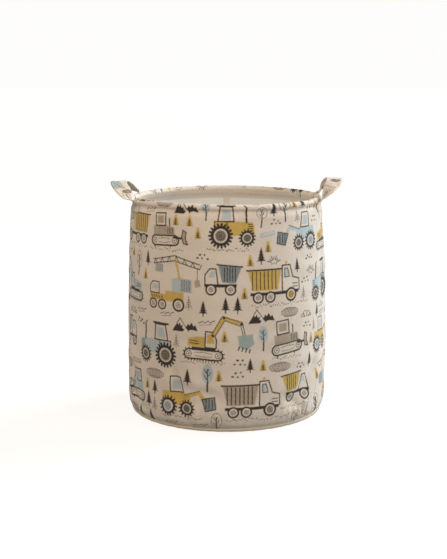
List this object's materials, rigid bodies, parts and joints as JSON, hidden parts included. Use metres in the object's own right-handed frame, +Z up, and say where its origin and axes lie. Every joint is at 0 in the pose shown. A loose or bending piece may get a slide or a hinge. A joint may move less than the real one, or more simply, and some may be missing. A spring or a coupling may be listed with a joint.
{
  "type": "fabric storage bin",
  "caption": "Round soft fabric storage bin with a printed canvas wall, a hooped rim and two cloth strap handles.",
  "frame": {"origin": "centre of the base's underside, on the floor", "axes": "+Z up along the bin's axis, -Y towards the front, handles at +X and -X"},
  "size_m": [0.4682, 0.398, 0.466],
  "materials": {
    "printed_canvas": "matte",
    "lining": "satin",
    "seam_tape": "matte",
    "stiffener": "matte",
    "hoop_tube": "matte"
  },
  "bodies": {
    "base": {"base_outer": "printed_canvas", "base_board": "stiffener", "base_lining": "lining", "base_seam_roll": "seam_tape", "wall_outer": "printed_canvas", "wall_lining": "lining", "side_seam_tape": "seam_tape"},
    "rim": {"rim_hem": "printed_canvas", "rim_hoop": "hoop_tube", "hoop_plug": "hoop_tube", "tab_right_front": "printed_canvas", "tab_right_back": "printed_canvas", "tab_left_front": "printed_canvas", "tab_left_back": "printed_canvas"},
    "handle_right": {"handle_right_strap": "printed_canvas"},
    "handle_left": {"handle_left_strap": "printed_canvas"}
  },
  "joints": [
    {"name": "collapse", "type": "slide", "parent": "base", "child": "rim", "axis": [0, 0, -1], "range_m": [0, 0.335], "deforming": ["wall_outer", "wall_lining", "side_seam_tape"]},
    {"name": "handle_right_swing", "type": "hinge", "parent": "rim", "child": "handle_right", "pos_m": [0.1859, 0, 0.427], "axis": [0, -1, 0], "range_deg": [-85, 30]},
    {"name": "handle_left_swing", "type": "hinge", "parent": "rim", "child": "handle_left", "pos_m": [-0.1859, 0, 0.427], "axis": [0, 1, 0], "range_deg": [-85, 30]}
  ]
}
